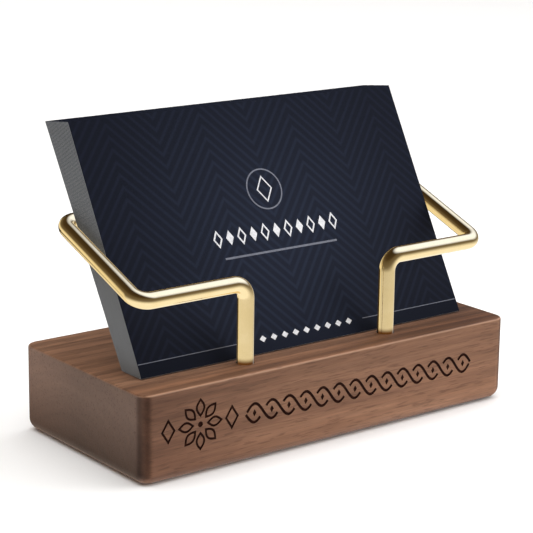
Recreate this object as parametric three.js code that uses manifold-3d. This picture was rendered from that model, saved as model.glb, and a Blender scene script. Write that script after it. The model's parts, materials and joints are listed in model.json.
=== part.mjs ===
// Business card holder: a walnut block, one bent round rod and a stack of loose cards.
// Millimetres, +Z up. The origin is at the middle of the block's underside, and -Y is the front.

import * as THREE from "three";
import { mergeVertices } from "three/addons/utils/BufferGeometryUtils.js";
import Module from "manifold-3d";

const wasm = await Module();
wasm.setup();

// Block
const BLOCK_LENGTH = 101;
const BLOCK_DEPTH = 46;
const BLOCK_HEIGHT = 19.4;
const UPRIGHT_EDGE_RADIUS = 3;
const BOTTOM_EDGE_RADIUS = 2.8;
const TOP_EDGE_RADIUS = 0.5;
const SHARPEST_CORNER = 0.1;

// Cards
const CARD_WIDTH = 88.9;
const CARD_HEIGHT = 56;
const CARD_THICKNESS = 0.3;
const CARD_COUNT = 18;
const CARD_SPACING = 0.05;
const CARD_LEAN = THREE.MathUtils.degToRad(28.8);
const CARD_FAN = THREE.MathUtils.degToRad(0.138);

// Rod
const ROD_DIAMETER = 3.6;
const LEG_SPACING = 39.2;
const LEG_SETBACK = 7.05;
const FRONT_BAR_HEIGHT = 17.4;
const REAR_BAR_RISE = 10.8;
const LEG_BEND_RADIUS = 3.3;
const CORNER_BEND_RADIUS = 3.0;
const LEG_HOLE_DEPTH = 12;

// Clearances
const LEG_HOLE_CLEARANCE = 0.2;
const LEG_CARD_CLEARANCE = 0.45;
const SIDE_CLEARANCE = 0.35;
const REAR_BAR_CLEARANCE = 0.3;
const SEAT_GAP = 0.2;

// Facets
const ROD_SIDES = 20;
const BEND_STEPS = 6;
const HOLE_SIDES = 24;
const CORNER_STEPS = 6;
const EDGE_STEPS = 5;
const CUT_OVERRUN = 1;

const rodRadius = ROD_DIAMETER / 2;

const walnut = new THREE.MeshStandardMaterial({ color: "#5b3a2c", roughness: 0.6, metalness: 0 });
const polishedGold = new THREE.MeshStandardMaterial({ color: "#e2c47c", roughness: 0.15, metalness: 1 });
const printedCard = new THREE.MeshStandardMaterial({ color: "#1b2130", roughness: 0.55, metalness: 0 });

// A rounded rectangle's corner points, counter-clockwise from above.
function outlineAt(inset, z) {
  const radius = Math.max(UPRIGHT_EDGE_RADIUS - inset, SHARPEST_CORNER);
  const centreX = BLOCK_LENGTH / 2 - inset - radius;
  const centreY = BLOCK_DEPTH / 2 - inset - radius;
  const corners = [[1, 1], [-1, 1], [-1, -1], [1, -1]];
  const points = [];
  corners.forEach(([sideX, sideY], corner) => {
    for (let step = 0; step <= CORNER_STEPS; step++) {
      const angle = (Math.PI / 2) * (corner + step / CORNER_STEPS);
      const x = sideX * centreX + radius * Math.cos(angle);
      const y = sideY * centreY + radius * Math.sin(angle);
      points.push(new THREE.Vector3(x, y, z));
    }
  });
  return points;
}

// The block's outlines from its underside to its top, with the bottom edges rounded and the top edges eased.
function blockOutlines() {
  const outlines = [];
  for (let step = 0; step <= EDGE_STEPS; step++) {
    const angle = ((Math.PI / 2) * step) / EDGE_STEPS;
    outlines.push(outlineAt(BOTTOM_EDGE_RADIUS * (1 - Math.sin(angle)), BOTTOM_EDGE_RADIUS * (1 - Math.cos(angle))));
  }
  for (let step = 0; step <= EDGE_STEPS; step++) {
    const angle = ((Math.PI / 2) * step) / EDGE_STEPS;
    const drop = TOP_EDGE_RADIUS * (1 - Math.sin(angle));
    outlines.push(outlineAt(TOP_EDGE_RADIUS * (1 - Math.cos(angle)), BLOCK_HEIGHT - drop));
  }
  return outlines;
}

// A closed skin over a pile of outlines that have the same number of points, capped by strips across the block.
function skin(outlines) {
  const count = outlines[0].length;
  const points = outlines.flat();
  const faces = [];
  for (let level = 0; level < outlines.length - 1; level++) {
    for (let i = 0; i < count; i++) {
      const a = level * count + i;
      const b = level * count + ((i + 1) % count);
      faces.push(a, b, b + count, a, b + count, a + count);
    }
  }
  const top = (outlines.length - 1) * count;
  for (let a = 0; a < count / 2 - 1; a++) {
    const d = count - 1 - a;
    faces.push(a, d, d - 1, a, d - 1, a + 1);
    faces.push(top + a, top + d - 1, top + d, top + a, top + a + 1, top + d - 1);
  }
  const geometry = new THREE.BufferGeometry().setFromPoints(points);
  geometry.setIndex(faces);
  return geometry;
}

function toSolid(geometry) {
  const bare = geometry.clone();
  bare.deleteAttribute("normal");
  bare.deleteAttribute("uv");
  const merged = mergeVertices(bare);
  const vertProperties = new Float32Array(merged.attributes.position.array);
  const triVerts = new Uint32Array(merged.index.array);
  return new wasm.Manifold(new wasm.Mesh({ numProp: 3, vertProperties, triVerts }));
}

function toGeometry(solid) {
  const mesh = solid.getMesh();
  const geometry = new THREE.BufferGeometry();
  geometry.setAttribute("position", new THREE.BufferAttribute(mesh.vertProperties, mesh.numProp));
  geometry.setIndex(new THREE.BufferAttribute(mesh.triVerts, 1));
  geometry.computeVertexNormals();
  return geometry;
}

// Where the rod's legs stand
const legY = -BLOCK_DEPTH / 2 + LEG_SETBACK;
const legX = LEG_SPACING / 2;

function woodBlock() {
  const holeRadius = rodRadius + LEG_HOLE_CLEARANCE;
  const cutterLength = LEG_HOLE_DEPTH + CUT_OVERRUN;
  let block = toSolid(skin(blockOutlines()));
  for (const side of [-1, 1]) {
    const cutter = new THREE.CylinderGeometry(holeRadius, holeRadius, cutterLength, HOLE_SIDES);
    cutter.rotateX(Math.PI / 2);
    cutter.translate(side * legX, legY, BLOCK_HEIGHT - LEG_HOLE_DEPTH + cutterLength / 2);
    block = block.subtract(toSolid(cutter));
  }
  const mesh = new THREE.Mesh(toGeometry(block), walnut);
  mesh.name = "wood_block";
  return mesh;
}

// Each card's foot is its rear bottom edge, which stands on the block. Its place and lean follow from its number.
const cardPitch = (CARD_THICKNESS + CARD_SPACING) / Math.cos(CARD_LEAN);
const frontFootY = legY + rodRadius + LEG_CARD_CLEARANCE + CARD_THICKNESS * Math.cos(CARD_LEAN);
const footZ = BLOCK_HEIGHT + SEAT_GAP;

function cardPlace(number) {
  return { y: frontFootY + number * cardPitch, lean: CARD_LEAN + number * CARD_FAN };
}

function cardStack() {
  const stack = new THREE.Group();
  const geometry = new THREE.BoxGeometry(CARD_WIDTH, CARD_THICKNESS, CARD_HEIGHT);
  geometry.translate(0, -CARD_THICKNESS / 2, CARD_HEIGHT / 2);
  for (let number = 0; number < CARD_COUNT; number++) {
    const place = cardPlace(number);
    const card = new THREE.Mesh(geometry, printedCard);
    card.name = `card_${String(number + 1).padStart(2, "0")}`;
    card.position.y = place.y;
    card.rotation.x = -place.lean;
    stack.add(card);
  }
  stack.position.z = footZ;
  return stack;
}

// The rod's centre line: straight lengths joined by round bends, with one section at each station.
class BentLine extends THREE.Curve {
  constructor(corners, bendRadii) {
    super();
    this.stations = [];
    this.addStation(corners[0], corners[1].clone().sub(corners[0]));
    bendRadii.forEach((radius, bend) => this.addBend(corners[bend], corners[bend + 1], corners[bend + 2], radius));
    const last = corners.length - 1;
    this.addStation(corners[last], corners[last].clone().sub(corners[last - 1]));
  }

  addStation(point, direction) {
    this.stations.push({ point: point.clone(), tangent: direction.clone().normalize() });
  }

  addBend(before, corner, after, radius) {
    const into = corner.clone().sub(before).normalize();
    const outOf = after.clone().sub(corner).normalize();
    const turn = into.angleTo(outOf);
    const start = corner.clone().addScaledVector(into, -radius * Math.tan(turn / 2));
    const inward = outOf.clone().addScaledVector(into, -into.dot(outOf)).normalize();
    const centre = start.clone().addScaledVector(inward, radius);
    for (let step = 0; step <= BEND_STEPS; step++) {
      const angle = (turn * step) / BEND_STEPS;
      const point = centre.clone();
      point.addScaledVector(inward, -radius * Math.cos(angle));
      point.addScaledVector(into, radius * Math.sin(angle));
      const tangent = into.clone().multiplyScalar(Math.cos(angle)).addScaledVector(inward, Math.sin(angle));
      this.addStation(point, tangent);
    }
  }

  stationAt(u) {
    return this.stations[Math.round(u * (this.stations.length - 1))];
  }

  getPointAt(u, target = new THREE.Vector3()) {
    return target.copy(this.stationAt(u).point);
  }

  getTangentAt(u, target = new THREE.Vector3()) {
    return target.copy(this.stationAt(u).tangent);
  }
}

// The rear bar lies against the back of the last card, at its own height.
function rearBarY(height) {
  const last = cardPlace(CARD_COUNT - 1);
  return last.y + (height - footZ) * Math.tan(last.lean) + (rodRadius + REAR_BAR_CLEARANCE) / Math.cos(last.lean);
}

function goldRod() {
  const footHeight = BLOCK_HEIGHT - LEG_HOLE_DEPTH + SEAT_GAP;
  const frontHeight = BLOCK_HEIGHT + FRONT_BAR_HEIGHT;
  const rearHeight = frontHeight + REAR_BAR_RISE;
  const outerX = CARD_WIDTH / 2 + SIDE_CLEARANCE + rodRadius;
  const halfLine = [
    [legX, legY, footHeight],
    [legX, legY, frontHeight],
    [outerX, legY, frontHeight],
    [outerX, rearBarY(rearHeight), rearHeight],
  ];
  const left = halfLine.map(([x, y, z]) => new THREE.Vector3(-x, y, z));
  const right = halfLine.map(([x, y, z]) => new THREE.Vector3(x, y, z)).reverse();
  const halfBends = [LEG_BEND_RADIUS, CORNER_BEND_RADIUS, CORNER_BEND_RADIUS];
  const line = new BentLine([...left, ...right], [...halfBends, ...halfBends.toReversed()]);
  const section = new THREE.Shape().absarc(0, 0, rodRadius, 0, 2 * Math.PI);
  const geometry = new THREE.ExtrudeGeometry(section, {
    extrudePath: line,
    steps: line.stations.length - 1,
    curveSegments: ROD_SIDES,
  });
  const mesh = new THREE.Mesh(geometry, polishedGold);
  mesh.name = "gold_rod";
  return mesh;
}

const holder = new THREE.Group();
holder.add(woodBlock(), goldRod(), cardStack());

export default holder;
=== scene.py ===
"""Business card holder: a walnut block, one bent gold rod and a leaning stack of printed cards.

Metres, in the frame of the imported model: +Z up, -Y the front, and the origin in the middle of the block's
underside.
"""

import json
import logging
import math
from collections.abc import Iterable, Sequence
from dataclasses import dataclass
from enum import Enum, IntEnum

import bmesh
import bpy
from mathutils import Matrix, Vector


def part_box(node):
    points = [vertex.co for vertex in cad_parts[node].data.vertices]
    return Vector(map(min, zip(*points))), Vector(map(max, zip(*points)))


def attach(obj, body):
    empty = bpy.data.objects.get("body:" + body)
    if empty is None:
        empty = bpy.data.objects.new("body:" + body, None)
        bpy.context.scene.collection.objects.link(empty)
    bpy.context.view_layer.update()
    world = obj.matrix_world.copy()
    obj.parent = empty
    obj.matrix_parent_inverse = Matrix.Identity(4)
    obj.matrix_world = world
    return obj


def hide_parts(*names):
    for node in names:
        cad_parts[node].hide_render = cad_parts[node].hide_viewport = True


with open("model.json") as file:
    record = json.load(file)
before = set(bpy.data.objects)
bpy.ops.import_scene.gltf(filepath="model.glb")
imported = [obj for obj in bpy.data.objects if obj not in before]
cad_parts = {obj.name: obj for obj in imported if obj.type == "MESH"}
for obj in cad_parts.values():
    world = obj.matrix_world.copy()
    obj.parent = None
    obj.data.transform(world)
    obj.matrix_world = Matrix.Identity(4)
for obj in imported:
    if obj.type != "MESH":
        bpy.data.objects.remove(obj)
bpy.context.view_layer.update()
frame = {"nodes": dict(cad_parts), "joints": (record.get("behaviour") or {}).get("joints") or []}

MM = 0.001
LOG = logging.getLogger("card_holder")

# Short names for types. Stops are a colour ramp's (place, hex colour) pairs, and a station is a point of the
# rod's centre line with its direction.
Point = tuple[float, float]
Range = tuple[float, float]
Direction = tuple[float, float, float]
Colour = tuple[float, float, float, float]
Stops = tuple[tuple[float, str], ...]
Station = tuple[Vector, Vector]
Tree = bpy.types.NodeTree
Socket = bpy.types.NodeSocket
Outputs = bpy.types.NodeOutputs
Shape = bmesh.types.BMesh
Face = bmesh.types.BMFace
Piece = bpy.types.Object


class Slot(Enum):
    """The record's material slots."""

    WALNUT = "walnut"
    GOLD = "polished_gold"
    CARD = "printed_card"


class Zone(IntEnum):
    """The parts of a card that have a finish of their own, by material number."""

    PRINT = 0
    EDGE = 1
    PALE_INK = 2
    GREY_INK = 3


# Node and colour tools


def linear(hex_colour: str) -> Colour:
    """Turns an sRGB hex colour into a linear one.

    Args:
        hex_colour: A colour such as "#8f6b55".

    Returns:
        Red, green, blue and an alpha of 1.
    """
    levels = [int(hex_colour[i : i + 2], 16) / 255 for i in (1, 3, 5)]
    red, green, blue = (v / 12.92 if v <= 0.04045 else ((v + 0.055) / 1.055) ** 2.4 for v in levels)
    return (red, green, blue, 1.0)


def add_node(
    tree: Tree,
    kind: str,
    settings: dict[str, object] | None = None,
    inputs: dict[str | int, object] | None = None,
) -> Outputs:
    """Adds a node with its settings and links.

    Args:
        tree: The node tree that takes it.
        kind: The node's type name after "ShaderNode".
        settings: Its properties by name. "stops" fills a colour ramp with (place, hex colour) pairs.
        inputs: A value or an output socket for each input, by name or number. A socket is linked.

    Returns:
        The new node's outputs.
    """
    node = tree.nodes.new("ShaderNode" + kind)
    for name, value in (settings or {}).items():
        if name != "stops":
            setattr(node, name, value)
            continue
        while len(node.color_ramp.elements) < len(value):
            node.color_ramp.elements.new(1.0)
        for element, (place, hex_colour) in zip(node.color_ramp.elements, value):
            element.position = place
            element.color = linear(hex_colour)
    for key, value in (inputs or {}).items():
        if isinstance(value, Socket):
            tree.links.new(value, node.inputs[key])
        else:
            node.inputs[key].default_value = value
    return node.outputs


# The numbers of the Mix node's colour sockets, which share their names with its other sockets
MIX_A = 6
MIX_B = 7
MIX_COLOUR = 2

# Settings that several nodes share
PLAIN = {"data_type": "RGBA"}
TINTED = {"data_type": "RGBA", "blend_type": "MULTIPLY"}
OVERLAID = {"data_type": "RGBA", "blend_type": "OVERLAY"}
SOFT = {"interpolation_type": "SMOOTHSTEP"}
TIMES = {"operation": "MULTIPLY"}

# Most of a noise lies in this range.
NOISE_RANGE = {"From Min": 0.3, "From Max": 0.7}


@dataclass(frozen=True)
class GrainLayer:
    """One layer of grain, in millimetres: its marks' length along the piece and their width across it."""

    length: float
    width: float
    detail: float
    offset: float
    coarseness: float = 0.6

    def draw(self, tree: Tree, place: Socket) -> Socket:
        """Draws the layer.

        Args:
            tree: The material's node tree.
            place: The surface's own coordinates in metres.

        Returns:
            The layer's strength, about 0 to 1.
        """
        stretch = (1 / (self.length * MM), 1 / (self.width * MM), 1 / (self.width * MM))
        shift = (self.offset, self.offset, self.offset)
        scaled = add_node(tree, "VectorMath", {"operation": "MULTIPLY_ADD"}, {0: place, 1: stretch, 2: shift})
        noise = {"Vector": scaled[0], "Scale": 1.0, "Detail": self.detail}
        return add_node(tree, "TexNoise", None, {**noise, "Roughness": self.coarseness})[0]


@dataclass(frozen=True)
class Side:
    """What looks one way: it counts for nothing at one cosine of the angle between, and fully at another."""

    direction: Direction
    none_at: float
    full_at: float

    def find(self, tree: Tree, normal: Socket) -> Socket:
        """Gives how much a surface or a ray belongs to this side.

        Args:
            tree: The node tree.
            normal: The surface's normal, or the ray's direction.

        Returns:
            A value from 0 to 1.
        """
        cosine = add_node(tree, "VectorMath", {"operation": "DOT_PRODUCT"}, {0: normal, 1: self.direction})
        limits = {"Value": cosine["Value"], "From Min": self.none_at, "From Max": self.full_at}
        return add_node(tree, "MapRange", SOFT, limits)[0]


# Finishes


@dataclass(frozen=True, kw_only=True)
class Finish:
    """A surface finish: a named material with one principled shader. Its relief's depth is in millimetres."""

    name: str
    roughness: float = 0.5
    specular: float = 0.5
    metallic: float = 0.0
    relief_strength: float = 0.0
    relief_depth: float = 0.0

    def material(self) -> bpy.types.Material:
        """Makes the material, or finds it if it is made already.

        Returns:
            The material.
        """
        known = bpy.data.materials.get(self.name)
        if known is not None:
            return known
        material = bpy.data.materials.new(self.name)
        material.use_nodes = True
        tree = material.node_tree
        tree.nodes.clear()
        pattern = self.pattern(tree, add_node(tree, "TexCoord")["Object"])
        height = pattern.pop("Height", None)
        if self.relief_strength > 0:
            bump = {"Height": height, "Strength": self.relief_strength, "Distance": self.relief_depth * MM}
            pattern["Normal"] = add_node(tree, "Bump", None, bump)[0]
        plain = {"Roughness": self.roughness, "Specular IOR Level": self.specular, "Metallic": self.metallic}
        shader = add_node(tree, "BsdfPrincipled", None, {**plain, **pattern})
        add_node(tree, "OutputMaterial", None, {"Surface": shader["BSDF"]})
        return material

    def pattern(self, tree: Tree, place: Socket) -> dict[str, Socket]:
        """Draws the finish's pattern.

        Args:
            tree: The material's node tree.
            place: The surface's own coordinates in metres.

        Returns:
            The sockets for the shader's inputs, by name, and the relief's as "Height".
        """
        return {}


@dataclass(frozen=True, kw_only=True)
class UnevenFinish(Finish):
    """A finish of one uneven tone, which one layer of grain gives, along with any relief."""

    grain: GrainLayer
    tones: Stops

    def pattern(self, tree: Tree, place: Socket) -> dict[str, Socket]:
        """Draws the uneven tone.

        Args:
            tree: The material's node tree.
            place: The surface's own coordinates in metres.

        Returns:
            The colour, and the grain as the relief.
        """
        strength = self.grain.draw(tree, place)
        tone = add_node(tree, "ValToRGB", {"stops": self.tones}, {"Fac": strength})[0]
        return {"Base Color": tone, "Height": strength}


@dataclass(frozen=True)
class PaintedWoodShade:
    """A painted shade on one side of the wood, a darkening tint. It grows along one axis from none to all, in
    millimetres.
    """

    colour: str
    side: Side
    axis: str
    none_at: float
    all_at: float


# Each part of a direction halfway between two axes
HALF_WAY = math.sqrt(0.5)

FRONT = Side((0.0, 1.0, 0.0), 0.6, 0.95)
END = Side((1.0, 0.0, 0.0), 0.6, 0.95)
TOP = Side((0.0, 0.0, 1.0), 0.6, 0.95)


@dataclass(frozen=True, kw_only=True)
class OiledWalnut(Finish):
    """Walnut, sanded and oiled.

    The eye sees long brown fibres with slow darker bands, short dark pores along the grain, specks on the
    end grain, and a satin surface.
    """

    name: str = "oiled_walnut"
    specular: float = 0.2
    satin: Range = (0.48, 0.66)
    bands: GrainLayer = GrainLayer(length=70, width=2.6, detail=3, offset=3.1)
    band_tones: Stops = ((0.3, "#8c654f"), (0.5, "#9c7259"), (0.7, "#ab8066"))
    # The tree's middle as seen on the block's end, in millimetres: the growth rings curve round it.
    pith: Point = (5.0, -12.0)
    streaks: GrainLayer = GrainLayer(length=22, width=1.1, detail=4, offset=7.4)
    streak_tones: Stops = ((0.3, "#6f6f6f"), (0.5, "#8c8c8c"), (0.7, "#a6a6a6"))
    streak_share: float = 0.5
    # Real fibres are about 0.03 mm wide, too fine to show, so they are drawn ten times as coarse.
    fibres: GrainLayer = GrainLayer(length=9, width=0.3, detail=3, offset=1.7)
    fibre_share: float = 0.38
    # Real pores are 0.1 to 0.2 mm wide and a few millimetres long, drawn a little wider so that they show.
    pores: GrainLayer = GrainLayer(length=4.2, width=0.42, detail=1, offset=5.3)
    pore_edge: Range = (0.33, 0.43)
    pore_colour: str = "#4a3126"
    pore_share: float = 0.36
    # The pores sink and the fibres stand.
    pore_relief: float = -0.8
    fibre_relief: float = 0.5
    relief_strength: float = 0.35
    relief_depth: float = 0.12
    wander: GrainLayer = GrainLayer(length=90, width=22, detail=1, offset=9.2)
    wander_reach: float = 2.5
    # The flat-sawn top shows broad streaks.
    top: Side = Side((0.0, 0.0, 1.0), 0.3, 0.95)
    # Painted shade: the whole top is made a little darker.
    top_painted_shade: str = "#e7e9e6"
    flat_bands: GrainLayer = GrainLayer(length=80, width=2.4, detail=3, offset=2.3)
    flat_tones: Stops = ((0.38, "#939393"), (0.5, "#bcbcbc"), (0.62, "#dfdfdf"))
    flat_share: float = 0.8
    # A painted highlight: the eased front top edge is paler, as if it caught the light.
    painted_edge_highlight: Side = Side((0.0, -HALF_WAY, HALF_WAY), 0.87, 0.97)
    painted_highlight_colour: str = "#c9a58c"
    painted_highlight_share: float = 0.35
    end_grain: Side = Side((1.0, 0.0, 0.0), 0.45, 0.98)
    end_colour: str = "#826d64"
    end_share: float = 0.66
    # Painted shade: the rounded upright corners are darker.
    corner: Side = Side((HALF_WAY, HALF_WAY, 0.0), 0.8, 0.98)
    corner_painted_shade: str = "#b3a79f"
    # Painted shades: the board is darker to the left and under its top edge, its end grain to the front and
    # to the foot, and its top to the right and slightly at its front strip.
    painted_shades: tuple[PaintedWoodShade, ...] = (
        PaintedWoodShade("#d8d4d5", FRONT, "X", -12.0, -46.0),
        PaintedWoodShade("#e2e2e2", FRONT, "Z", 5.0, 17.0),
        PaintedWoodShade("#dadee2", END, "Y", 17.0, 1.0),
        PaintedWoodShade("#a89a92", END, "Z", 14.0, 2.0),
        PaintedWoodShade("#c6bfb9", TOP, "X", -30.0, 40.0),
        PaintedWoodShade("#fbf3ec", TOP, "Y", -14.0, -19.0),
    )

    def pattern(self, tree: Tree, place: Socket) -> dict[str, Socket]:
        """Draws the grain's colour, its relief and its gloss.

        Args:
            tree: The material's node tree.
            place: The block's own coordinates in metres.

        Returns:
            The colour, the gloss and the relief.
        """
        bent = self.wavering_place(tree, place)
        fibres = self.fibres.draw(tree, bent)
        edge = {"From Min": self.pore_edge[0], "From Max": self.pore_edge[1], "To Min": 1.0, "To Max": 0.0}
        pores = add_node(tree, "MapRange", None, {"Value": self.pores.draw(tree, bent), **edge})[0]
        turned = self.turned_faces(tree, self.long_grain(tree, bent, fibres), place)
        depth = add_node(tree, "Math", TIMES, {0: pores, 1: self.pore_share})[0]
        pored = {0: depth, MIX_A: turned, MIX_B: linear(self.pore_colour)}
        satin = {"Value": fibres, **NOISE_RANGE, "To Min": self.satin[0], "To Max": self.satin[1]}
        raised = add_node(tree, "Math", TIMES, {0: fibres, 1: self.fibre_relief})[0]
        sunk = {0: pores, 1: self.pore_relief, 2: raised}
        return {
            "Base Color": add_node(tree, "Mix", PLAIN, pored)[MIX_COLOUR],
            "Roughness": add_node(tree, "MapRange", None, satin)[0],
            "Height": add_node(tree, "Math", {"operation": "MULTIPLY_ADD"}, sunk)[0],
        }

    def wavering_place(self, tree: Tree, place: Socket) -> Socket:
        """Bends the coordinates a little, so that the grain wanders along the block.

        Args:
            tree: The material's node tree.
            place: The block's own coordinates in metres.

        Returns:
            The bent coordinates.
        """
        reach = (0.0, self.wander_reach * MM, self.wander_reach * MM)
        drift = {0: reach, "Scale": self.wander.draw(tree, place)}
        offset = add_node(tree, "VectorMath", {"operation": "SCALE"}, drift)[0]
        return add_node(tree, "VectorMath", {"operation": "ADD"}, {0: place, 1: offset})[0]

    def ring_place(self, tree: Tree, place: Socket) -> Socket:
        """Turns a place into its length along the tree and its distance from the tree's middle.

        Args:
            tree: The material's node tree.
            place: The bent coordinates in metres.

        Returns:
            Coordinates whose y is that distance.
        """
        middle = (0.0, self.pith[0] * MM, self.pith[1] * MM)
        out = add_node(tree, "VectorMath", {"operation": "SUBTRACT"}, {0: place, 1: middle})[0]
        across = add_node(tree, "VectorMath", TIMES, {0: out, 1: (0.0, 1.0, 1.0)})[0]
        distance = add_node(tree, "VectorMath", {"operation": "LENGTH"}, {0: across})["Value"]
        along = add_node(tree, "SeparateXYZ", None, {0: place})["X"]
        return add_node(tree, "CombineXYZ", None, {0: along, 1: distance})[0]

    def long_grain(self, tree: Tree, place: Socket, fibres: Socket) -> Socket:
        """Mixes the bands, streaks and fibres into one colour.

        Args:
            tree: The material's node tree.
            place: The bent coordinates.
            fibres: The strength of the fibres.

        Returns:
            The colour socket.
        """
        rings = self.bands.draw(tree, self.ring_place(tree, place))
        colour = add_node(tree, "ValToRGB", {"stops": self.band_tones}, {"Fac": rings})[0]
        strength = self.streaks.draw(tree, place)
        streaks = add_node(tree, "ValToRGB", {"stops": self.streak_tones}, {"Fac": strength})[0]
        for share, layer in ((self.streak_share, streaks), (self.fibre_share, fibres)):
            mix = {0: share, MIX_A: colour, MIX_B: layer}
            colour = add_node(tree, "Mix", OVERLAID, mix)[MIX_COLOUR]
        return colour

    def turned_faces(self, tree: Tree, grain: Socket, place: Socket) -> Socket:
        """Draws the flat-sawn top, paints a highlight on its front edge, evens the end grain and adds painted
        shade to the top, the upright corners and the sides.

        Args:
            tree: The material's node tree.
            grain: The colour of the long grain.
            place: The block's own coordinates in metres.

        Returns:
            The colour socket.
        """
        normal = add_node(tree, "TexCoord")["Normal"]
        sideways = add_node(tree, "VectorMath", {"operation": "ABSOLUTE"}, {0: normal})[0]
        top = self.top.find(tree, normal)
        strength = self.flat_bands.draw(tree, place)
        flat = add_node(tree, "ValToRGB", {"stops": self.flat_tones}, {"Fac": strength})[0]
        edge_highlight = self.painted_edge_highlight.find(tree, normal)
        layers = [
            (OVERLAID, top, self.flat_share, flat),
            # painted shade over the whole top
            (TINTED, top, 1.0, linear(self.top_painted_shade)),
            # painted highlight along the front top edge
            (PLAIN, edge_highlight, self.painted_highlight_share, linear(self.painted_highlight_colour)),
            (PLAIN, self.end_grain.find(tree, sideways), self.end_share, linear(self.end_colour)),
            # painted shade on the upright corners
            (TINTED, self.corner.find(tree, sideways), 1.0, linear(self.corner_painted_shade)),
        ]
        axes = add_node(tree, "SeparateXYZ", None, {0: place})
        # The painted shades on the sides and the top
        for painted_shade in self.painted_shades:
            limits = {"Value": axes[painted_shade.axis], "From Min": painted_shade.none_at * MM, "From Max": painted_shade.all_at * MM}
            growth = add_node(tree, "MapRange", None, limits)[0]
            layers.append((TINTED, painted_shade.side.find(tree, sideways), growth, linear(painted_shade.colour)))
        colour = grain
        for settings, side, share, layer in layers:
            amount = add_node(tree, "Math", TIMES, {0: side, 1: share})[0]
            mix = {0: amount, MIX_A: colour, MIX_B: layer}
            colour = add_node(tree, "Mix", settings, mix)[MIX_COLOUR]
        return colour


@dataclass(frozen=True, kw_only=True)
class BurntWalnut(UnevenFinish):
    """Walnut charred by an engraving laser: near-black reddish brown with paler, less burnt fibres."""

    name: str = "burnt_walnut"
    roughness: float = 0.85
    # Char is full of fine holes that swallow most of the gloss.
    specular: float = 0.1
    grain: GrainLayer = GrainLayer(length=3, width=0.35, detail=2, offset=2.6)
    tones: Stops = ((0.35, "#1f0c07"), (0.6, "#30160d"), (0.8, "#462818"))
    relief_strength: float = 0.4
    relief_depth: float = 0.1


@dataclass(frozen=True, kw_only=True)
class PolishedGold(UnevenFinish):
    """Rod plated pale gold and polished: a mirror with a faint haze and ripple."""

    name: str = "polished_gold_plate"
    metallic: float = 1.0
    grain: GrainLayer = GrainLayer(length=5, width=5, detail=4, offset=4.4)
    tones: Stops = ((0.35, "#e6cf9c"), (0.65, "#ecd6a6"))
    relief_strength: float = 0.1
    relief_depth: float = 0.05
    # Polishing marks are microns wide, so they are drawn as a haze of half a millimetre.
    polish: GrainLayer = GrainLayer(length=0.5, width=0.5, detail=2, offset=8.8)
    gloss: Range = (0.08, 0.13)
    # Painted reflection: the legs' feet are browned in the colour, as if they mirrored the wood close to
    # them. The shade grows from the first height, in millimetres, to the second, just above the block's top.
    foot: Range = (20.9, 19.5)
    foot_painted_reflection: str = "#6e4722"

    def pattern(self, tree: Tree, place: Socket) -> dict[str, Socket]:
        """Draws the metal's colour, haze and ripple, and the painted reflection of the wood at the feet.

        Args:
            tree: The material's node tree.
            place: The rod's own coordinates in metres.

        Returns:
            The colour, the gloss and the relief.
        """
        pattern = super().pattern(tree, place)
        # Painted reflection of the wood, browning the feet
        height = add_node(tree, "SeparateXYZ", None, {0: place})["Z"]
        limits = {"Value": height, "From Min": self.foot[0] * MM, "From Max": self.foot[1] * MM}
        foot_reflection_share = add_node(tree, "MapRange", SOFT, limits)[0]
        foot_reflection_mix = {0: foot_reflection_share, MIX_A: pattern["Base Color"], MIX_B: linear(self.foot_painted_reflection)}
        pattern["Base Color"] = add_node(tree, "Mix", TINTED, foot_reflection_mix)[MIX_COLOUR]
        marks = self.polish.draw(tree, place)
        gloss = {"Value": marks, **NOISE_RANGE, "To Min": self.gloss[0], "To Max": self.gloss[1]}
        pattern["Roughness"] = add_node(tree, "MapRange", None, gloss)[0]
        return pattern


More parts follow.
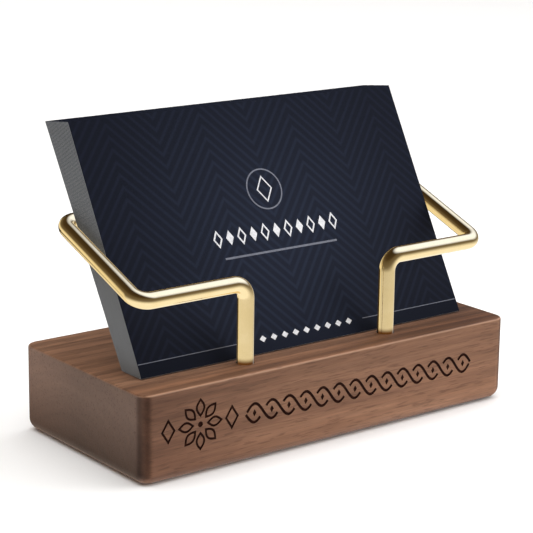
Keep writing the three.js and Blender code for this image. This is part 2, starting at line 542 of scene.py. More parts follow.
@dataclass(frozen=True, kw_only=True)
class MattPrint(Finish):
    """Card board printed navy and laminated matt: fine chevron stripes with a soft paler middle, partly
    printed and partly painted light.

    Its sizes are in millimetres.
    """

    name: str = "matt_navy_print"
    roughness: float = 0.6
    specular: float = 0.08
    stripe_pitch: float = 2.8
    # The soft edge of a light stripe, as shares of half the pitch
    stripe_edge: Range = (0.35, 0.95)
    half_period: float = 12.1
    first_fold: float = 0.7
    rise: float = 1.14
    plain_foot: float = 2.9
    middle_height: float = 22.0
    glow_reach: Direction = (60.0, 1000.0, 54.0)
    # The dark and the light stripes, each at the card's corners and in its middle, which is paler partly by
    # print and partly by painted light
    inks: tuple[tuple[str, str], ...] = (("#0f121b", "#1b1f2b"), ("#141723", "#222837"))

    def pattern(self, tree: Tree, place: Socket) -> dict[str, Socket]:
        """Draws the chevron stripes and the paler middle.

        Args:
            tree: The material's node tree.
            place: The card's own coordinates in metres.

        Returns:
            The colour.
        """
        # Partly print, partly painted light
        glow = self.glow(tree, place)
        tones = []
        for corners, middle in self.inks:
            mix = {0: glow, MIX_A: linear(corners), MIX_B: linear(middle)}
            tones.append(add_node(tree, "Mix", PLAIN, mix)[MIX_COLOUR])
        mix = {0: self.stripes(tree, place), MIX_A: tones[0], MIX_B: tones[1]}
        return {"Base Color": add_node(tree, "Mix", PLAIN, mix)[MIX_COLOUR]}

    def stripes(self, tree: Tree, place: Socket) -> Socket:
        """Draws the chevron: stripes that rise and fall across the card, with a plain band at its foot.

        Args:
            tree: The material's node tree.
            place: The card's own coordinates in metres.

        Returns:
            0 on the dark stripes and 1 on the light ones.
        """
        half_pitch = self.stripe_pitch * MM / 2
        axes = add_node(tree, "SeparateXYZ", None, {0: place})
        fold = {0: axes["X"], 1: self.first_fold * MM}
        aside = add_node(tree, "Math", {"operation": "SUBTRACT"}, fold)[0]
        zigzag = {0: aside, 1: self.half_period * MM}
        folded = add_node(tree, "Math", {"operation": "PINGPONG"}, zigzag)[0]
        lowered = {0: folded, 1: -self.rise, 2: axes["Z"]}
        level = add_node(tree, "Math", {"operation": "MULTIPLY_ADD"}, lowered)[0]
        ridge = add_node(tree, "Math", {"operation": "PINGPONG"}, {0: level, 1: half_pitch})[0]
        edge = {"From Min": self.stripe_edge[0] * half_pitch, "From Max": self.stripe_edge[1] * half_pitch}
        stripe = add_node(tree, "MapRange", SOFT, {"Value": ridge, **edge})[0]
        above = {0: axes["Z"], 1: self.plain_foot * MM}
        patterned = add_node(tree, "Math", {"operation": "GREATER_THAN"}, above)[0]
        return add_node(tree, "Math", TIMES, {0: stripe, 1: patterned})[0]

    def glow(self, tree: Tree, place: Socket) -> Socket:
        """Draws the paler middle, which is partly print and partly painted light that makes up for the shade
        of the rod and the block.

        Args:
            tree: The material's node tree.
            place: The card's own coordinates in metres.

        Returns:
            1 in the middle, falling to 0 at the corners.
        """
        scale = tuple(1 / (reach * MM) for reach in self.glow_reach)
        shift = (0.0, 0.0, -self.middle_height / self.glow_reach[2])
        oval = add_node(tree, "VectorMath", {"operation": "MULTIPLY_ADD"}, {0: place, 1: scale, 2: shift})
        distance = add_node(tree, "VectorMath", {"operation": "LENGTH"}, {0: oval[0]})
        fade = {"Value": distance["Value"], "To Min": 1.0, "To Max": 0.0}
        return add_node(tree, "MapRange", SOFT, fade)[0]


@dataclass(frozen=True, kw_only=True)
class CutBoard(UnevenFinish):
    """The guillotined edge of the board: mid grey and dull, with faint layers along the edge."""

    name: str = "cut_grey_board"
    roughness: float = 0.8
    # Board fibres are 0.02 mm wide, too fine to show, so the layers are drawn 0.12 mm wide.
    grain: GrainLayer = GrainLayer(length=6, width=0.12, detail=2, offset=6.1)
    tones: Stops = ((0.3, "#777a7e"), (0.7, "#7c7f83"))
    # The grey differs from card to card between these shares.
    shades: Range = (0.975, 1.025)

    def pattern(self, tree: Tree, place: Socket) -> dict[str, Socket]:
        """Draws the layers in the card's own shade of grey.

        Args:
            tree: The material's node tree.
            place: The card's own coordinates in metres.

        Returns:
            The colour.
        """
        grey = super().pattern(tree, place)["Base Color"]
        card = add_node(tree, "ObjectInfo")["Random"]
        limits = {"Value": card, "To Min": self.shades[0], "To Max": self.shades[1]}
        shade = {0: grey, "Scale": add_node(tree, "MapRange", None, limits)[0]}
        return {"Base Color": add_node(tree, "VectorMath", {"operation": "SCALE"}, shade)[0]}


@dataclass(frozen=True, kw_only=True)
class ScreenInk(UnevenFinish):
    """Ink screen-printed on the card: flat, with a slightly uneven film."""

    name: str = "pale_screen_ink"
    grain: GrainLayer = GrainLayer(length=0.6, width=0.6, detail=2, offset=3.7)
    tones: Stops = ((0.35, "#c9cacf"), (0.6, "#dcdde0"))


@dataclass(frozen=True, kw_only=True)
class PaleFloor(UnevenFinish):
    """White laminate: a plain pale surface with a barely uneven tone."""

    name: str = "pale_laminate"
    roughness: float = 0.7
    grain: GrainLayer = GrainLayer(length=400, width=400, detail=1, offset=2.2)
    tones: Stops = ((0.3, "#f4f4f3"), (0.7, "#f7f7f7"))


# Mesh tools

# Edges that turn by more than this stay sharp when a mesh is shaded smooth.
SHARP_FROM = math.radians(35)


def new_object(name: str, mesh: bpy.types.Mesh) -> Piece:
    """Puts a mesh into the scene under a name.

    Args:
        name: The piece's name.
        mesh: Its mesh.

    Returns:
        The new object.
    """
    piece = bpy.data.objects.new(name, mesh)
    bpy.context.scene.collection.objects.link(piece)
    return piece


def closed_mesh(name: str, shape: Shape, finishes: Iterable[Finish]) -> bpy.types.Mesh:
    """Turns a shape into a mesh with its faces pointing out.

    Args:
        name: The mesh's name.
        shape: The shape, which is used up.
        finishes: The mesh's finishes, in the order of its material numbers.

    Returns:
        The mesh.
    """
    bmesh.ops.recalc_face_normals(shape, faces=shape.faces[:])
    mesh = bpy.data.meshes.new(name)
    shape.to_mesh(mesh)
    shape.free()
    for finish in finishes:
        mesh.materials.append(finish.material())
    return mesh


def smooth(mesh: bpy.types.Mesh) -> None:
    """Shades a mesh smooth, and keeps its sharp edges."""
    mesh.polygons.foreach_set("use_smooth", [True] * len(mesh.polygons))
    mesh.set_sharp_from_angle(angle=SHARP_FROM)


def skin(shape: Shape, outlines: Sequence[Sequence[Vector]], closed: bool = False) -> list[Face]:
    """Closes a skin over a pile of outlines that have the same number of points.

    Args:
        shape: The shape that takes the skin.
        outlines: The outlines in order.
        closed: Whether the last outline meets the first. If not, both ends are capped.

    Returns:
        The first cap, the last cap and then the sides.
    """
    rings = [[shape.verts.new(point) for point in outline] for outline in outlines]
    faces = [] if closed else [shape.faces.new(rings[0]), shape.faces.new(rings[-1])]
    for low, high in zip(rings, rings[1:] + (rings[:1] if closed else [])):
        for i in range(len(low)):
            j = (i + 1) % len(low)
            faces.append(shape.faces.new((low[i], low[j], high[j], high[i])))
    return faces


def carve(body: Piece, cutter: Piece) -> None:
    """Cuts one object out of another for good and removes the cutter.

    Args:
        body: The object that is cut. The cut faces take the cutter's materials.
        cutter: The object that cuts.
    """
    cut = body.modifiers.new("cut", "BOOLEAN")
    cut.operation = "DIFFERENCE"
    cut.solver = "EXACT"
    cut.material_mode = "TRANSFER"
    cut.object = cutter
    bpy.context.view_layer.update()
    evaluated = body.evaluated_get(bpy.context.evaluated_depsgraph_get())
    whole = body.data
    body.data = bpy.data.meshes.new_from_object(evaluated)
    body.modifiers.remove(cut)
    body.data.name = whole.name + "_cut"
    bpy.data.meshes.remove(whole)
    bpy.data.objects.remove(cutter)


# Line art, which both the engraving and the print are drawn with


def circle(centre: Point, radius: float, steps: int) -> list[Point]:
    """Gives a circle's points."""
    angles = [2 * math.pi * step / steps for step in range(steps)]
    return [(centre[0] + radius * math.cos(a), centre[1] + radius * math.sin(a)) for a in angles]


def lozenge(centre: Point, half_size: Point) -> list[Point]:
    """Gives a lozenge's four points."""
    (x, z), (wide, high) = centre, half_size
    return [(x + wide, z), (x, z + high), (x - wide, z), (x, z - high)]


@dataclass
class LineArt:
    """Flat strokes and plates in an upright plane, each a closed solid between two depths."""

    shape: Shape
    front: float
    back: float
    # At a sharp turn a stroke's corner stands out by at most its half width divided by this.
    sharpest_mitre: float = 0.3

    def stroke(self, line: Sequence[Point], width: float, closed: bool = False, zone: int = 0) -> None:
        """Adds a stroke of even width along a line.

        Args:
            line: The line's points as (x, z).
            width: The stroke's width.
            closed: Whether the line's end meets its start.
            zone: The stroke's material number.
        """
        sections = [self.section(line, i, width / 2, closed) for i in range(len(line))]
        for face in skin(self.shape, sections, closed):
            face.material_index = zone

    def section(self, line: Sequence[Point], i: int, reach: float, closed: bool) -> list[Vector]:
        """Gives the four corners of a stroke's section at one point of its line.

        Args:
            line: The line's points.
            i: The point's number.
            reach: Half of the stroke's width.
            closed: Whether the line's end meets its start.

        Returns:
            The section's corners.
        """
        count = len(line)
        here = Vector(line[i])
        before = Vector(line[(i - 1) % count]) if closed or i > 0 else None
        after = Vector(line[(i + 1) % count]) if closed or i < count - 1 else None
        into = (here - before).normalized() if before else (after - here).normalized()
        out_of = (after - here).normalized() if after else into
        across = Vector((-into.y - out_of.y, into.x + out_of.x)).normalized()
        across *= reach / max(across.dot(Vector((-into.y, into.x))), self.sharpest_mitre)
        left, right = here + across, here - across
        corners = [(left, self.front), (right, self.front), (right, self.back), (left, self.back)]
        return [Vector((flat.x, y, flat.y)) for flat, y in corners]

    def plate(self, outline: Sequence[Point], zone: int = 0) -> None:
        """Adds a filled plate.

        Args:
            outline: The plate's outline as (x, z) points.
            zone: The plate's material number.
        """
        outlines = [[Vector((x, y, z)) for x, z in outline] for y in (self.front, self.back)]
        for face in skin(self.shape, outlines):
            face.material_index = zone


# The block


@dataclass
class Engraving:
    """The burnt line ornament on the block's front: a rosette between lozenges, and a plaited band.

    A lozenge's size is given as half its width and half its height.
    """

    depth: float = 0.3 * MM
    overrun: float = 0.2 * MM
    stroke: float = 0.62 * MM
    fine_stroke: float = 0.496 * MM
    rosette_centre: Point = (-36.2 * MM, 11.0 * MM)
    dot_radius: float = 0.62 * MM
    dot_steps: int = 16
    petals: int = 8
    petal_steps: int = 8
    petal_inner: float = 1.9 * MM
    petal_outer: float = 5.3 * MM
    petal_half_width: float = 0.95 * MM
    side_spacing: float = 8.0 * MM
    side_lozenge: Point = (1.5 * MM, 2.3 * MM)
    band_start: float = -24.6 * MM
    band_end: float = 39.4 * MM
    band_height: float = 10.7 * MM
    band_amplitude: float = 2.05 * MM
    # The points along each half wave
    band_steps: int = 10
    crossings: int = 14
    # How far the lower strand stops short of a crossing, as shares of the distance between crossings
    crossing_gap: float = 0.17
    end_gap: float = 0.07
    eye: Point = (0.496 * MM, 0.806 * MM)

    def cutter(self, front: float) -> Piece:
        """Makes the solid that cuts the ornament.

        Args:
            front: The y of the block's front face.

        Returns:
            The cutter, dressed as burnt wood.
        """
        art = LineArt(bmesh.new(), front - self.overrun, front + self.depth)
        self.draw_rosette(art)
        self.draw_band(art)
        return new_object("engraving", closed_mesh("engraving", art.shape, [BurntWalnut()]))

    def draw_rosette(self, art: LineArt) -> None:
        """Draws the rosette, its centre and the lozenges beside it.

        Args:
            art: The line art that takes them.
        """
        for number in range(self.petals):
            art.stroke(self.petal(2 * math.pi * number / self.petals), self.fine_stroke, closed=True)
        art.plate(circle(self.rosette_centre, self.dot_radius, self.dot_steps))
        for side in (-1, 1):
            centre = (self.rosette_centre[0] + side * self.side_spacing, self.rosette_centre[1])
            art.stroke(lozenge(centre, self.side_lozenge), self.fine_stroke, closed=True)

    def petal(self, turn: float) -> list[Point]:
        """Gives the outline of a petal that points away from the rosette's centre.

        Args:
            turn: The petal's direction, in radians.

        Returns:
            The outline's points, out along one side and back along the other.
        """
        points = []
        for step in range(2 * self.petal_steps):
            path = step / self.petal_steps
            along = self.petal_inner + (self.petal_outer - self.petal_inner) * (1 - abs(1 - path))
            across = self.petal_half_width * math.sin(math.pi * path)
            x = self.rosette_centre[0] + along * math.cos(turn) - across * math.sin(turn)
            z = self.rosette_centre[1] + along * math.sin(turn) + across * math.cos(turn)
            points.append((x, z))
        return points

    def draw_band(self, art: LineArt) -> None:
        """Draws the plaited band: two waves that pass over and under each other, with lozenges between them.

        Args:
            art: The line art that takes it.
        """
        spacing = (self.band_end - self.band_start) / self.crossings
        for strand in (0, 1):
            for line in self.strand_lines(strand, spacing):
                art.stroke(line, self.stroke)
        for number in range(self.crossings):
            art.plate(lozenge((self.band_start + (number + 0.5) * spacing, self.band_height), self.eye))

    def gap_at(self, crossing: int) -> float:
        """Gives how far the lower strand stops short of a crossing. The band's ends look closed."""
        return self.crossing_gap if 0 < crossing < self.crossings else self.end_gap

    def strand_lines(self, strand: int, spacing: float) -> list[list[Point]]:
        """Gives one wave in the pieces that show: it stops short of each crossing where it passes under.

        Args:
            strand: 0 for the wave that rises first, 1 for the other.
            spacing: The distance between crossings.

        Returns:
            The pieces' lines.
        """
        height = self.band_amplitude if strand == 0 else -self.band_amplitude
        lines = []
        for first in range(-strand, self.crossings, 2):
            last = first + 2
            start = first + self.gap_at(first) if first >= 0 else 0.0
            end = last - self.gap_at(last) if last <= self.crossings else float(self.crossings)
            count = round((end - start) * self.band_steps)
            places = [start + (end - start) * step / count for step in range(count + 1)]
            waves = [(p * spacing, height * math.sin(math.pi * p)) for p in places]
            lines.append([(self.band_start + x, self.band_height + z) for x, z in waves])
        return lines


@dataclass
class WalnutBlock:
    """The walnut block that stands on the desk, with two blind holes for the rod's legs."""

    upright_radius: float = 3.0 * MM
    bottom_radius: float = 2.8 * MM
    top_radius: float = 0.6 * MM
    # An outline's corner radius shrinks by this share of its inset, so that it never comes down to nothing.
    radius_loss: float = 0.98
    leg_spacing: float = 39.2 * MM
    leg_setback: float = 7.05 * MM
    hole_diameter: float = 4.0 * MM
    hole_depth: float = 12.0 * MM
    hole_overrun: float = 1.0 * MM
    hole_steps: int = 40
    corner_steps: int = 14
    edge_steps: int = 8
    # The large flat faces lead the normals of the rounded edges beside them: 50 is even, 100 the most.
    flat_weight: int = 100

    def outline_at(self, inset: float, z: float) -> list[Vector]:
        """Gives the block's outline at one height.

        Args:
            inset: How far the outline lies inside the block's sides.
            z: The height.

        Returns:
            The outline's points, counter-clockwise from above.
        """
        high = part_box("wood_block")[1]
        radius = self.upright_radius - inset * self.radius_loss
        points = []
        for corner, (side_x, side_y) in enumerate(((1, 1), (-1, 1), (-1, -1), (1, -1))):
            for step in range(self.corner_steps + 1):
                angle = (corner + step / self.corner_steps) * math.pi / 2
                x = side_x * (high.x - inset - radius) + radius * math.cos(angle)
                y = side_y * (high.y - inset - radius) + radius * math.sin(angle)
                points.append(Vector((x, y, z)))
        return points

    def outlines(self) -> list[list[Vector]]:
        """Gives the block's outlines, rounded at the bottom edges and eased at the top ones.

        Returns:
            The outlines from the underside to the top.
        """
        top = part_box("wood_block")[1].z
        angles = [math.pi / 2 * step / self.edge_steps for step in range(self.edge_steps + 1)]
        lower = [(1 - math.sin(a), 1 - math.cos(a)) for a in angles]
        upper = [(1 - math.cos(a), 1 - math.sin(a)) for a in angles]
        below = [self.outline_at(self.bottom_radius * i, self.bottom_radius * z) for i, z in lower]
        above = [self.outline_at(self.top_radius * i, top - self.top_radius * z) for i, z in upper]
        return below + above

    def hole_cutter(self) -> Piece:
        """Makes the solid that cuts the two leg holes.

        Returns:
            The cutter.
        """
        low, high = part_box("wood_block")
        heights = (high.z - self.hole_depth, high.z + self.hole_overrun)
        shape = bmesh.new()
        for side in (-1, 1):
            centre = (side * self.leg_spacing / 2, low.y + self.leg_setback)
            ring = circle(centre, self.hole_diameter / 2, self.hole_steps)
            skin(shape, [[Vector((x, y, z)) for x, y in ring] for z in heights])
        return new_object("leg_holes", closed_mesh("leg_holes", shape, [OiledWalnut()]))

    def build(self) -> Piece:
        """Builds and dresses the block.

        Returns:
            The block.
        """
        shape = bmesh.new()
        skin(shape, self.outlines())
        block = new_object("walnut_block", closed_mesh("walnut_block", shape, [OiledWalnut()]))
        carve(block, self.hole_cutter())
        carve(block, Engraving().cutter(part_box("wood_block")[0].y))
        smooth(block.data)
        even = block.modifiers.new("even_normals", "WEIGHTED_NORMAL")
        even.keep_sharp = True
        even.weight = self.flat_weight
        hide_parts("wood_block")
        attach(block, "base")
        block.visible_glossy = False
        return block


# The rod


@dataclass
class GoldRod:
    """The bent round rod: two legs in the block, a front bar from each, two side runs and one rear bar."""

    diameter: float = 3.6 * MM
    leg_spacing: float = 39.2 * MM
    front_bar_height: float = 17.4 * MM
    leg_bend: float = 3.3 * MM
    corner_bend: float = 3.0 * MM
    sides: int = 40
    bend_steps: int = 16

    def corners(self) -> list[Vector]:
        """Gives the corners of the rod's centre line.

        Returns:
            The corners, from the left leg's foot to the right leg's.
        """
        low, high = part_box("gold_rod")
        radius = self.diameter / 2
        leg_x = self.leg_spacing / 2
        outer_x = high.x - radius
        front_y = low.y + radius
        front_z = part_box("wood_block")[1].z + self.front_bar_height
        right = [
            Vector((leg_x, front_y, low.z)),
            Vector((leg_x, front_y, front_z)),
            Vector((outer_x, front_y, front_z)),
            Vector((outer_x, high.y - radius, high.z - radius)),
        ]
        left = [Vector((-point.x, point.y, point.z)) for point in right]
        return left + right[::-1]

    def stations(self) -> list[Station]:
        """Gives the centre line: straight lengths joined by round bends.

        Returns:
            The line's (point, direction) pairs.
        """
        corners = self.corners()
        half = [self.leg_bend, self.corner_bend, self.corner_bend]
        line = [(corners[0], (corners[1] - corners[0]).normalized())]
        for before, corner, after, radius in zip(corners, corners[1:], corners[2:], half + half[::-1]):
            line += self.bend(before, corner, after, radius)
        line.append((corners[-1], (corners[-1] - corners[-2]).normalized()))
        return line

    def bend(self, before: Vector, corner: Vector, after: Vector, radius: float) -> list[Station]:
        """Gives the stations of one round bend.

        Args:
            before: The corner before the bend.
            corner: The corner that the bend rounds.
            after: The corner after it.
            radius: The bend's radius at the centre line.

        Returns:
            The stations along the bend.
        """
        into = (corner - before).normalized()
        out_of = (after - corner).normalized()
        turn = into.angle(out_of)
        inward = (out_of - into * into.dot(out_of)).normalized()
        centre = corner - into * radius * math.tan(turn / 2) + inward * radius
        stations = []
        for step in range(self.bend_steps + 1):
            angle = turn * step / self.bend_steps
            point = centre - inward * radius * math.cos(angle) + into * radius * math.sin(angle)
            stations.append((point, into * math.cos(angle) + inward * math.sin(angle)))
        return stations

    def build(self) -> Piece:
        """Sweeps and dresses the rod.

        Returns:
            The rod.
        """
        section = circle((0.0, 0.0), self.diameter / 2, self.sides)
        across = Vector((1, 0, 0))
        outlines = []
        for point, direction in self.stations():
            across = (across - direction * across.dot(direction)).normalized()
            beside = direction.cross(across)
            outlines.append([point + across * a + beside * b for a, b in section])
        shape = bmesh.new()
        skin(shape, outlines)
        rod = new_object("bent_gold_rod", closed_mesh("bent_gold_rod", shape, [PolishedGold()]))
        smooth(rod.data)
        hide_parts("gold_rod")
        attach(rod, "base")
        return rod


# The cards


@dataclass
class CardDesign:
    """One printed card in its own frame: x across, z up, the front at -y, its rear bottom edge on the x axis.

    A lozenge's size is given as half its width and half its height.
    """

    width: float
    height: float
    thickness: float = 0.3 * MM
    edge_softness: float = 0.015 * MM
    ink_height: float = 0.012 * MM
    ink_sink: float = 0.01 * MM
    emblem_height: float = 35.6 * MM
    emblem_radius: float = 4.6 * MM
    emblem_steps: int = 48
    emblem_stroke: float = 0.32 * MM
    emblem_lozenge: Point = (1.932 * MM, 2.852 * MM)
    lozenge_stroke: float = 0.3 * MM
    title_height: float = 26.0 * MM
    title_marks: int = 11
    title_spacing: float = 3.2 * MM
    title_lozenge: Point = (1.0 * MM, 1.7 * MM)
    title_stroke: float = 0.36 * MM
    second_line_height: float = 21.5 * MM
    second_line_length: float = 31.0 * MM
    second_line_stroke: float = 0.45 * MM
    rule_height: float = 2.95 * MM
    rule_gap: float = 32.0 * MM
    rule_width: float = 0.16 * MM
    rule_inset: float = 0.15 * MM
    foot_marks: int = 9
    foot_spacing: float = 3.0 * MM
    foot_lozenge: Point = (0.9 * MM, 0.75 * MM)

    def mesh(self) -> bpy.types.Mesh:
        """Builds the board and its printed marks.

        Returns:
            The mesh that all cards share.
        """
        shape = bmesh.new()
        self.add_board(shape)
        art = LineArt(shape, -self.thickness - self.ink_height, -self.thickness + self.ink_sink)
        self.draw_emblem(art)
        self.draw_title(art)
        self.draw_foot(art)
        finishes = {
            Zone.PRINT: MattPrint(),
            Zone.EDGE: CutBoard(),
            Zone.PALE_INK: ScreenInk(),
            Zone.GREY_INK: ScreenInk(name="grey_screen_ink", tones=((0.35, "#60636e"), (0.6, "#6c6f7a"))),
        }
        return closed_mesh("printed_card", shape, [finishes[zone] for zone in Zone])

    def add_board(self, shape: Shape) -> None:
        """Adds the board, with softened edges, printed on its front and back.

        Args:
            shape: The shape that takes the board.
        """
        soft = self.edge_softness
        levels = [(-self.thickness, soft), (soft - self.thickness, 0.0), (-soft, 0.0), (0.0, soft)]
        outlines = []
        for y, inset in levels:
            left, right = inset - self.width / 2, self.width / 2 - inset
            low, high = inset, self.height - inset
            corners = ((left, low), (right, low), (right, high), (left, high))
            outlines.append([Vector((x, y, z)) for x, z in corners])
        front, back, *sides = skin(shape, outlines)
        for face in (front, back):
            face.material_index = Zone.PRINT
        # The edges, in the middle band, are cut board, and so are the bevels at both ends, which have odd
        # numbers. The bevels along the foot and the top show the print.
        for number, face in enumerate(sides):
            band, side = divmod(number, len(outlines[0]))
            face.material_index = Zone.EDGE if band == 1 or side % 2 else Zone.PRINT

    def draw_emblem(self, art: LineArt) -> None:
        """Draws a ring with a lozenge inside it.

        Args:
            art: The line art that takes them.
        """
        centre = (0.0, self.emblem_height)
        ring = circle(centre, self.emblem_radius, self.emblem_steps)
        art.stroke(ring, self.emblem_stroke, closed=True, zone=Zone.GREY_INK)
        art.stroke(lozenge(centre, self.emblem_lozenge), self.lozenge_stroke, closed=True, zone=Zone.PALE_INK)

    def draw_title(self, art: LineArt) -> None:
        """Draws a row of lozenges, every second one filled, over a thin grey line.

        Args:
            art: The line art that takes them.
        """
        for number in range(self.title_marks):
            x = (number - (self.title_marks - 1) / 2) * self.title_spacing
            outline = lozenge((x, self.title_height), self.title_lozenge)
            if number % 2:
                art.plate(outline, Zone.PALE_INK)
            else:
                art.stroke(outline, self.title_stroke, closed=True, zone=Zone.PALE_INK)
        half = self.second_line_length / 2
        line = [(-half, self.second_line_height), (half, self.second_line_height)]
        art.stroke(line, self.second_line_stroke, zone=Zone.GREY_INK)

    def draw_foot(self, art: LineArt) -> None:
        """Draws the thin rule near the card's foot, with a row of small marks in its gap.

        Args:
            art: The line art that takes them.
        """
        for side in (-1, 1):
            ends = (side * self.rule_gap / 2, side * (self.width / 2 - self.rule_inset))
            art.stroke([(x, self.rule_height) for x in ends], self.rule_width, zone=Zone.GREY_INK)
        for number in range(self.foot_marks):
            x = (number - (self.foot_marks - 1) / 2) * self.foot_spacing
            art.plate(lozenge((x, self.rule_height), self.foot_lozenge), Zone.PALE_INK)


@dataclass
class CardStack:
    """The stack of loose cards, each with its own lean and on its own body.

    The cards don't show in the rod's mirror image, which keeps the gold pale.
    """

    node_start: str = "card_"
    joint_ending: str = "_lift"

    def lean_of(self, node: str) -> float:
        """Gives a card's lean from the upright, from the axis along which it is lifted."""
        joint = next(joint for joint in frame["joints"] if joint["name"] == node + self.joint_ending)
        return math.atan2(joint["axis"][1], joint["axis"][2])

    def design(self, node: str) -> CardDesign:
        """Takes the card's width and height from the frame.

        Args:
            node: A card's CAD node.

        Returns:
            The design that all the cards share.
        """
        low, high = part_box(node)
        lean = self.lean_of(node)
        height = (high.z - low.z - CardDesign.thickness * math.sin(lean)) / math.cos(lean)
        return CardDesign(width=high.x - low.x, height=height)

    def build(self) -> list[Piece]:
        """Places and dresses every card.

        Returns:
            The cards, the front one first.
        """
        nodes = sorted(name for name in frame["nodes"] if name.startswith(self.node_start))
        mesh = self.design(nodes[0]).mesh()
        cards = []
        for node in nodes:
            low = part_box(node)[0]
            lean = self.lean_of(node)
            foot = Vector((0.0, low.y + CardDesign.thickness * math.cos(lean), low.z))
            card = new_object("printed_" + node, mesh)
            card.matrix_world = Matrix.Translation(foot) @ Matrix.Rotation(-lean, 4, "X")
            bpy.context.view_layer.update()
            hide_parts(node)
            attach(card, "loose_" + node)
            card.visible_glossy = False
            cards.append(card)
        return cards


# The studio


def direction_to(azimuth: float, elevation: float) -> Vector:
    """Gives the direction to a place round the object.

    Args:
        azimuth: Degrees from the front towards the right.
        elevation: Degrees above the horizon.

    Returns:
        A direction of length 1.
    """
    a, e = math.radians(azimuth), math.radians(elevation)
    return Vector((math.sin(a) * math.cos(e), -math.cos(a) * math.cos(e), math.sin(e)))


@dataclass(frozen=True)
class SoftBox:
    """A soft rectangular studio light that faces the object."""

    name: str
    azimuth: float
    elevation: float
    distance: float
    width: float
    height: float
    power: float

    def build(self) -> None:
        """Hangs the light, which shows neither in the gold nor in the picture."""
        data = bpy.data.lights.new(self.name, "AREA")
        data.shape = "RECTANGLE"
        data.size = self.width
        data.size_y = self.height
        data.energy = self.power
        light = bpy.data.objects.new(self.name, data)
        away = direction_to(self.azimuth, self.elevation)
        light.location = away * self.distance
        light.rotation_mode = "QUATERNION"
        light.rotation_quaternion = away.to_track_quat("Z", "Y")
        light.visible_glossy = False
        light.visible_camera = False
        bpy.context.scene.collection.objects.link(light)


@dataclass(frozen=True)
class WallPatch:
    """A patch of the room's far side that only the gold mirrors.

    Each edge gives an axis of the direction, and where along it the patch is not there and where it is full.
    """

    colour: str
    edges: tuple[tuple[str, float, float], ...]

    def cover(self, tree: Tree, axes: Outputs, seen: Socket) -> Socket:
        """Gives how much of the room the patch covers.

        Args:
            tree: The world's node tree.
            axes: The direction's x, y and z.
            seen: 1 for the rays that can see the patch, 0 for others.

        Returns:
            A value from 0 to 1.
        """
        cover = seen
        for axis, none_at, full_at in self.edges:
            limits = {"Value": axes[axis], "From Min": none_at, "From Max": full_at}
            inside = add_node(tree, "MapRange", SOFT, limits)[0]
            cover = add_node(tree, "Math", TIMES, {0: cover, 1: inside})[0]
        return cover


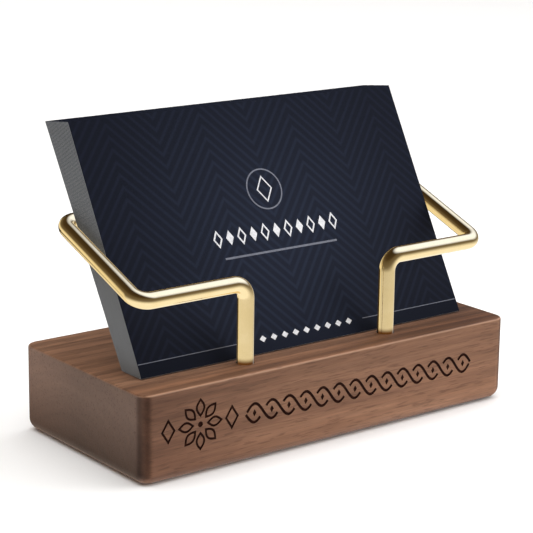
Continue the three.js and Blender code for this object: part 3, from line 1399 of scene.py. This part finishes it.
@dataclass
class Studio:
    """A pale floor, soft lights, a room and the camera. Of all this the gold mirrors only the room."""

    azimuth: float = -37.96
    elevation: float = 14.56
    roll: float = 0.81
    distance: float = 416.27 * MM
    target: Direction = (-1.77 * MM, 0.0, 34.22 * MM)
    lens: float = 127.26
    floor_side: float = 8.0
    floor_segments: int = 8
    # The room's colours from straight below, at 0, through the horizon, at 0.5, to straight above, at 1
    room: Stops = (
        (0.25, "#ffffff"),
        (0.35, "#e2e0da"),
        (0.44, "#aaa69d"),
        (0.525, "#7b7468"),
        (0.6, "#6f6555"),
        (0.75, "#615643"),
        (0.85, "#483b28"),
        (1.0, "#382d1c"),
    )
    room_strength: float = 1.25
    window_place: Point = (82.0, 50.0)
    # The window's soft edge, as cosines of the angle from its middle
    window_edge: Range = (0.7, 0.95)
    # Cool daylight, brighter than white, where the gold mirrors the window, and plain light on all the rest
    window_colour: Colour = (1.05, 1.22, 1.75, 1.0)
    window_fill: Colour = (1.5, 1.5, 1.5, 1.0)
    # The side runs' bright edges mirror a pale far wall, and the dark rims a low cupboard and a dark door.
    patches: tuple[WallPatch, ...] = (
        WallPatch("#f2ead2", (("Y", 0.5, 0.75), ("Z", 0.35, 0.0))),
        WallPatch(
            "#3a3022", (("Y", 0.57, 0.78), ("Z", -0.46, -0.27), ("Z", -0.1, -0.17), ("X", -0.54, -0.42))
        ),
        WallPatch("#3a3022", (("Y", 0.57, 0.78), ("X", 0.15, 0.35))),
    )
    backdrop: str = "#fafafa"
    lights: tuple[SoftBox, ...] = (
        SoftBox("top_light", azimuth=-120.0, elevation=76.0, distance=1.8, width=2.0, height=2.0, power=38.0),
        SoftBox("front_light", azimuth=62.0, elevation=11.0, distance=0.42, width=0.3, height=0.3, power=1.6),
    )

    def build_camera(self) -> None:
        """Sets up the camera."""
        turn = math.radians(self.azimuth)
        back = direction_to(self.azimuth, self.elevation)
        right = Vector((math.cos(turn), math.sin(turn), 0.0))
        up = back.cross(right)
        cosine, sine = math.cos(math.radians(self.roll)), math.sin(math.radians(self.roll))
        turned = Matrix((cosine * right + sine * up, cosine * up - sine * right, back)).transposed()
        data = bpy.data.cameras.new("camera")
        data.lens = self.lens
        camera = bpy.data.objects.new("camera", data)
        camera.matrix_world = Matrix.Translation(Vector(self.target) + back * self.distance) @ turned.to_4x4()
        bpy.context.scene.collection.objects.link(camera)
        bpy.context.scene.camera = camera

    def build_floor(self) -> None:
        """Lays the floor just under the block."""
        shape = bmesh.new()
        segments = self.floor_segments
        bmesh.ops.create_grid(shape, x_segments=segments, y_segments=segments, size=self.floor_side / 2)
        floor = new_object("floor", closed_mesh("floor", shape, [PaleFloor()]))
        floor.visible_glossy = False

    def build_room(self) -> None:
        """Makes the room that the gold mirrors, with one soft window, in front of a pale backdrop."""
        world = bpy.data.worlds.new("studio")
        world.use_nodes = True
        tree = world.node_tree
        tree.nodes.clear()
        direction = add_node(tree, "TexCoord")["Generated"]
        axes = add_node(tree, "SeparateXYZ", None, {0: direction})
        height = add_node(tree, "MapRange", None, {"Value": axes["Z"], "From Min": -1.0})[0]
        colour = add_node(tree, "ValToRGB", {"stops": self.room}, {"Fac": height})[0]
        ray = add_node(tree, "LightPath")
        daylight = {0: ray["Is Glossy Ray"], MIX_A: self.window_fill, MIX_B: self.window_colour}
        window = Side(direction_to(*self.window_place), *self.window_edge).find(tree, direction)
        layers = [(window, add_node(tree, "Mix", PLAIN, daylight)[MIX_COLOUR])]
        for patch in self.patches:
            layers.append((patch.cover(tree, axes, ray["Is Glossy Ray"]), linear(patch.colour)))
        layers.append((ray["Is Camera Ray"], linear(self.backdrop)))
        for cover, layer in layers:
            colour = add_node(tree, "Mix", PLAIN, {0: cover, MIX_A: colour, MIX_B: layer})[MIX_COLOUR]
        light = add_node(tree, "Background", None, {"Color": colour, "Strength": self.room_strength})
        add_node(tree, "OutputWorld", None, {"Surface": light[0]})
        bpy.context.scene.world = world
        bpy.context.scene.view_settings.view_transform = "Standard"

    def build(self) -> None:
        """Builds the whole studio."""
        self.build_camera()
        self.build_floor()
        self.build_room()
        for light in self.lights:
            light.build()


def main() -> None:
    """Builds the studio and every piece of the card holder, in order."""
    logging.basicConfig(level=logging.INFO, format="%(message)s")
    Studio().build()
    WalnutBlock().build()
    GoldRod().build()
    CardStack().build()


if __name__ == "__main__":
    main()
